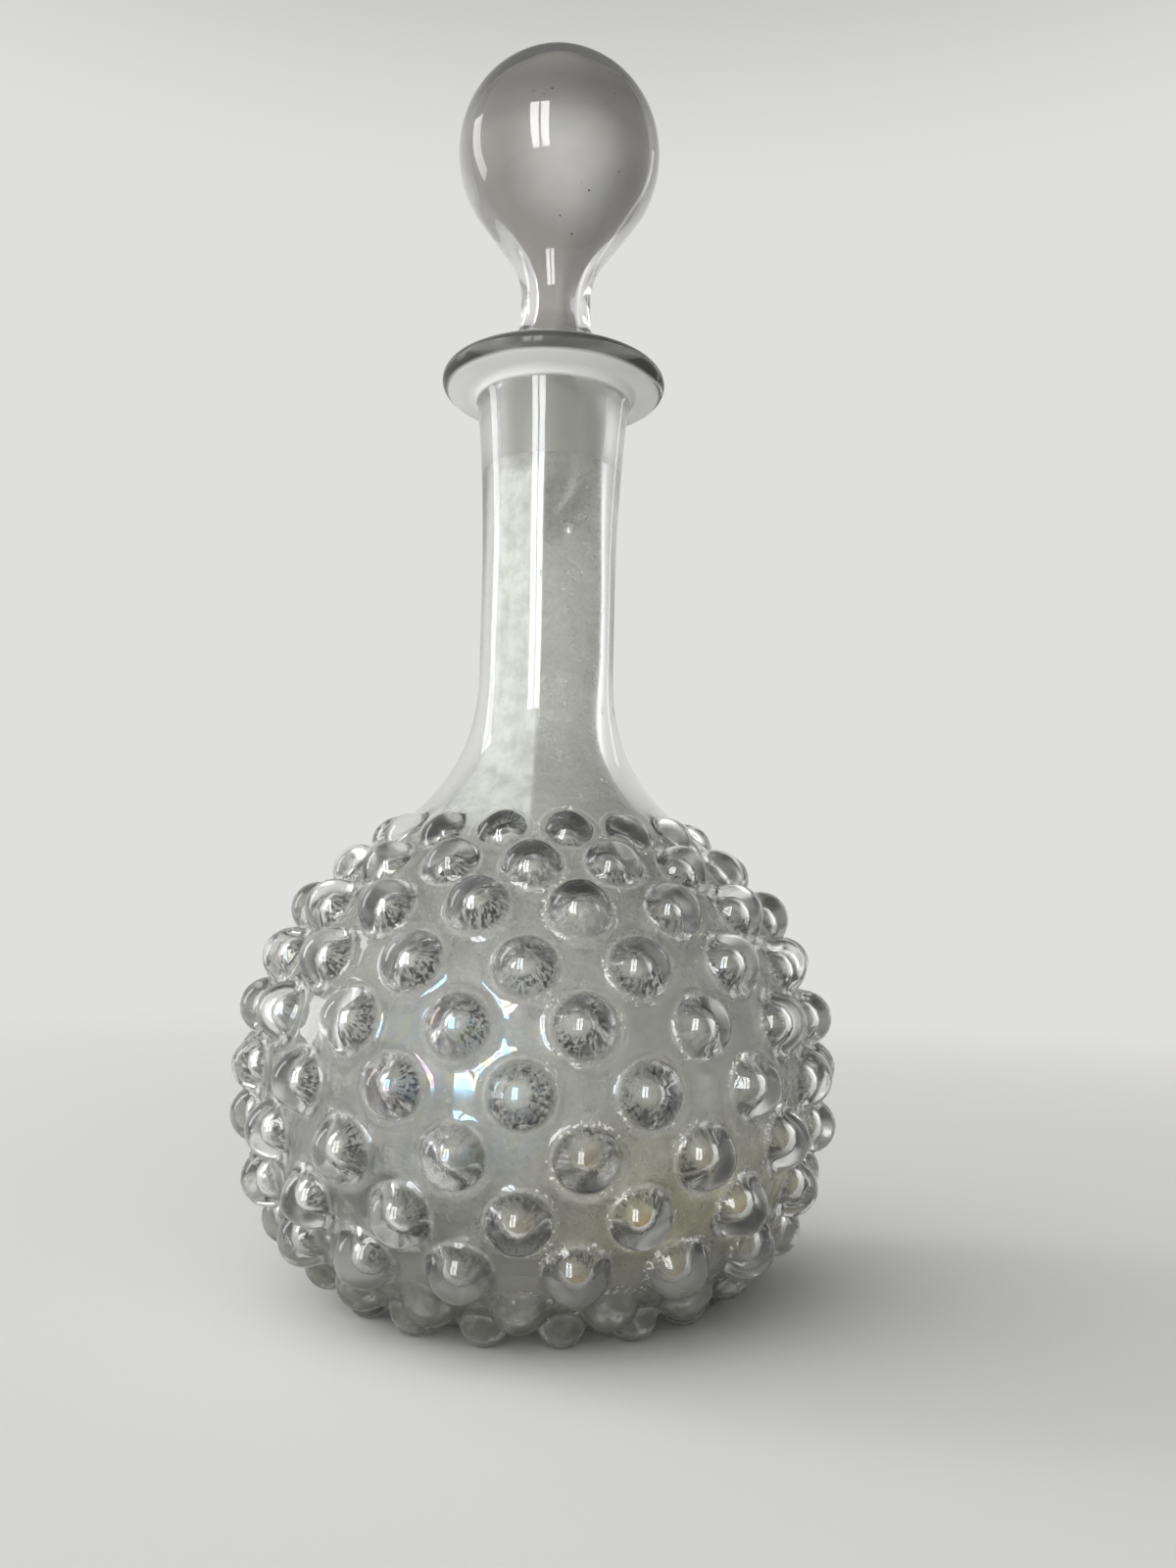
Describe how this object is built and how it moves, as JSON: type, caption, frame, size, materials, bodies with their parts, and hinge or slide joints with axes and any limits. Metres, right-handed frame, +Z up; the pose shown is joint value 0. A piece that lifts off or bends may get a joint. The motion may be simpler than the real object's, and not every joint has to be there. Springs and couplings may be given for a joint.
{
  "type": "decanter",
  "caption": "Round glass decanter with hobnail knobs all over its body, a long plain neck with a flat flared lip, and a hollow blown ball stopper on a tapered shank.",
  "frame": {"origin": "centre of the base, on the surface the decanter stands on", "axes": "+Z up along the axis of body, neck and stopper; a knob of the even rows faces -Y"},
  "size_m": [0.1274, 0.1274, 0.2764],
  "materials": {
    "vessel_glass": "clear mould-blown glass, faintly grey-green, fire-polished",
    "stopper_glass": "clear thin blown glass, faintly grey, with a ground shank"
  },
  "bodies": {
    "decanter": {"vessel": "vessel_glass"},
    "stopper": {"stopper": "stopper_glass"}
  },
  "joints": [
    {"name": "stopper_lift", "type": "slide", "parent": "decanter", "child": "stopper", "axis": [0, 0, 1], "range_m": [0, 0.08]}
  ]
}
